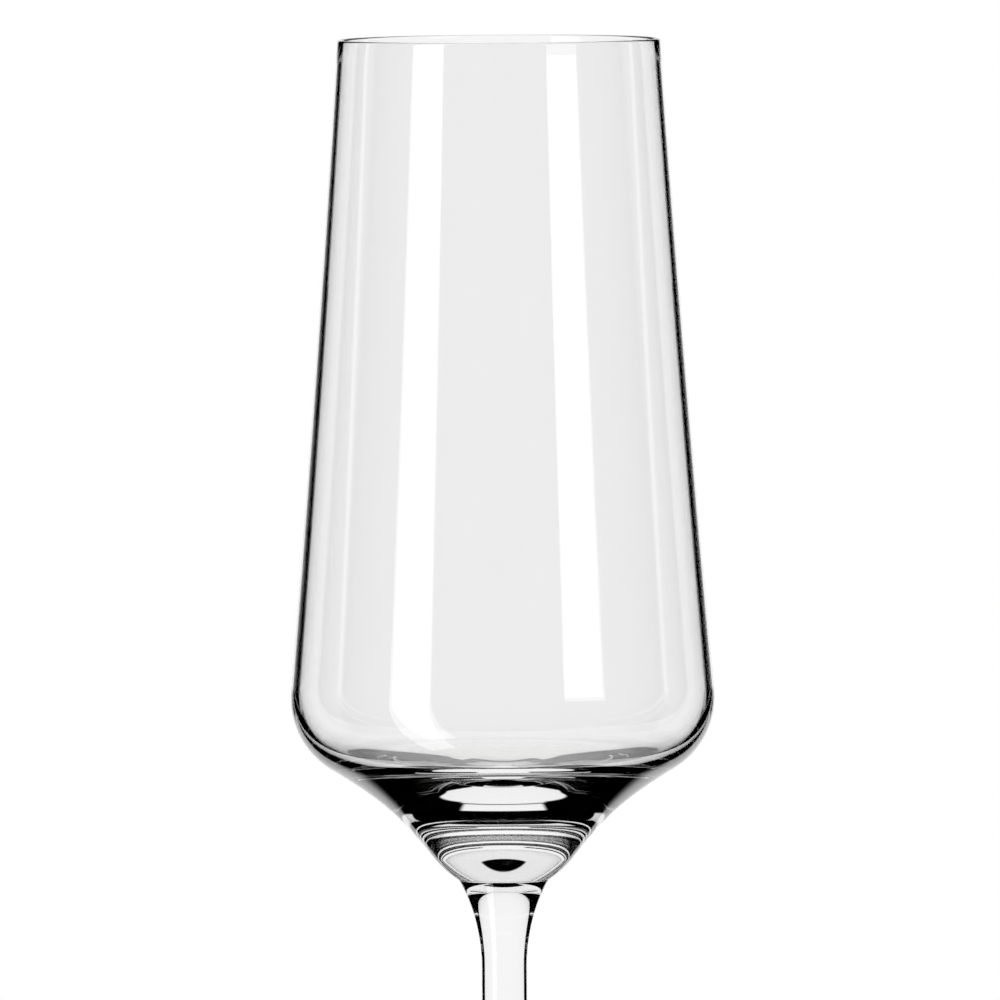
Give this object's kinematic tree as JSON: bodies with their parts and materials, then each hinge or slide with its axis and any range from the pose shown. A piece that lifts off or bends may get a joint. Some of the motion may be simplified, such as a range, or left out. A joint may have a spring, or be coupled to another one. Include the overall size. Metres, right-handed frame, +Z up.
{
  "type": "champagne glass",
  "caption": "Tall stemmed champagne glass of clear crystal: a bowl that narrows to a fire-polished rim over a round shoulder and a thick conical base, a slim flared stem and a round foot.",
  "frame": {"origin": "on the table, under the middle of the foot", "axes": "+Z up along the axis of the glass; the glass is round, so X and Y are any two square directions"},
  "size_m": [0.07, 0.07, 0.25],
  "materials": {
    "clear_crystal": "clear, colourless, fire-polished"
  },
  "bodies": {
    "root": {"foot": "clear_crystal", "stem": "clear_crystal", "bowl": "clear_crystal"}
  },
  "joints": []
}
